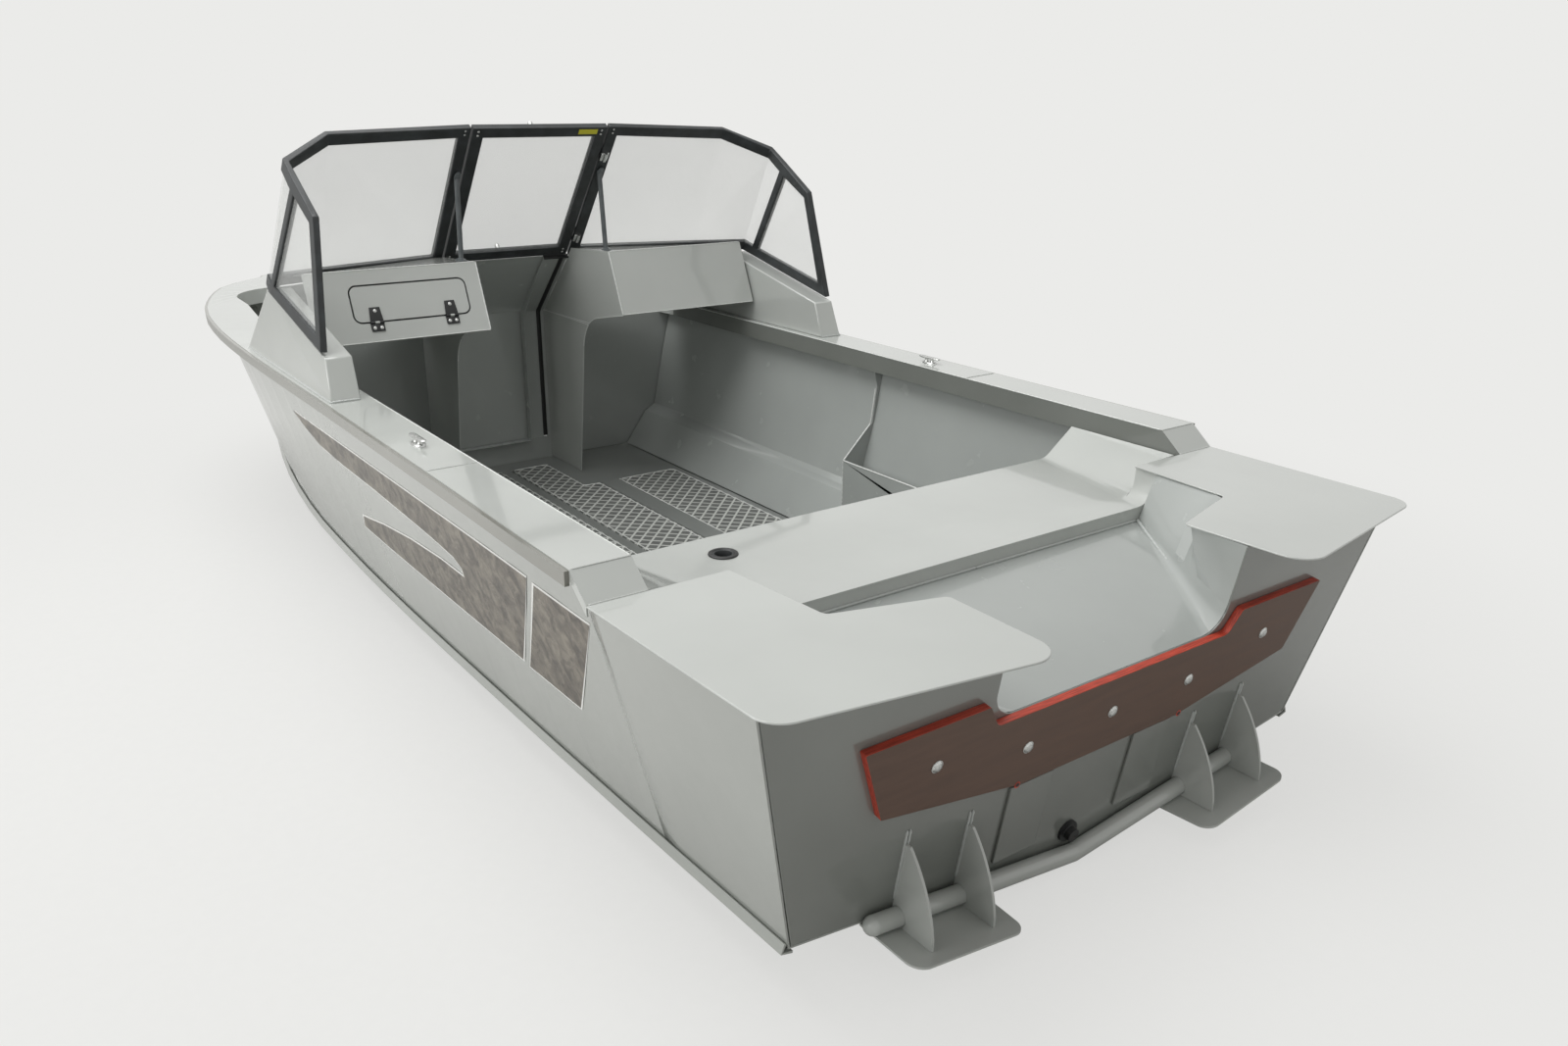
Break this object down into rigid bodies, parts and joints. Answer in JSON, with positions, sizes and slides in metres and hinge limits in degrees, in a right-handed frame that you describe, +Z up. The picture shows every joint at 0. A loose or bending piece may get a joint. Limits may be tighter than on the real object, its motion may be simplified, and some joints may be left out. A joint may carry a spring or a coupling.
{
  "type": "open motorboat",
  "caption": "Welded aluminium open motorboat with a walk-through windshield, side consoles, a bow cockpit, an aft bench and a splash well before the transom notch.",
  "frame": {"origin": "on the waterline, on the centreline, below the chine corners of the transom", "axes": "+X to the bow, +Y to port, +Z up"},
  "size_m": [4.874, 1.865, 1.4717],
  "materials": {
    "hull_paint": "semi-gloss",
    "deck_paint": "satin",
    "liner_paint": "satin",
    "frame_paint": "satin",
    "screen_glass": "clear",
    "pad_board": "film-faced",
    "tread_sheet": "embossed",
    "black_plastic": "matte",
    "cleat_metal": "polished",
    "hinge_metal": "satin"
  },
  "bodies": {
    "root": {"hull_bottom": "hull_paint", "hull_side_port": "hull_paint", "hull_side_starboard": "hull_paint", "transom": "hull_paint", "keel": "hull_paint", "chine_rails": "hull_paint", "side_deck_port": "deck_paint", "side_deck_starboard": "deck_paint", "bow_deck": "deck_paint", "platform_port": "deck_paint", "platform_starboard": "deck_paint", "rub_rail": "deck_paint", "aft_bench": "deck_paint", "splash_well": "liner_paint", "floor": "liner_paint", "tread_panels": "tread_sheet", "liner_port": "liner_paint", "liner_starboard": "liner_paint", "side_pocket_port": "liner_paint", "side_pocket_starboard": "liner_paint", "console_port": "deck_paint", "console_starboard": "deck_paint", "bulkhead_port": "liner_paint", "bulkhead_starboard": "liner_paint", "coaming_port": "deck_paint", "coaming_starboard": "deck_paint", "fairing_port": "deck_paint", "fairing_starboard": "deck_paint", "windshield_frame_port": "frame_paint", "windshield_frame_starboard": "frame_paint", "windshield_glass_port": "screen_glass", "windshield_glass_starboard": "screen_glass", "window_hinges": "hinge_metal", "struts": "frame_paint", "passage_frame": "liner_paint", "door_hinges": "liner_paint", "glovebox_box": "liner_paint", "lid_hinges": "hinge_metal", "bow_locker": "deck_paint", "bow_eye": "cleat_metal", "transom_pad": "pad_board", "doubler_strips": "hull_paint", "stern_tube": "hull_paint", "trim_tab_port": "hull_paint", "trim_tab_starboard": "hull_paint", "drain_plug": "black_plastic", "cleats": "cleat_metal", "deck_socket": "black_plastic"},
    "window": {"window_frame": "frame_paint", "window_glass": "screen_glass"},
    "door": {"passage_door": "liner_paint"},
    "lid": {"glovebox_lid": "deck_paint"}
  },
  "joints": [
    {"name": "window_hinge", "type": "hinge", "parent": "root", "child": "window", "pos_m": [2.82964, -0.244, 0.83711], "axis": [0.6297, 0, -0.7768], "range_deg": [0, 170]},
    {"name": "door_hinge", "type": "hinge", "parent": "root", "child": "door", "pos_m": [3.071, 0.24, 0.3], "axis": [0, 0, 1], "range_deg": [0, 90]},
    {"name": "lid_hinge", "type": "hinge", "parent": "root", "child": "lid", "pos_m": [2.41171, 0.37, 0.71157], "axis": [0, -1, 0], "range_deg": [0, 150]}
  ]
}
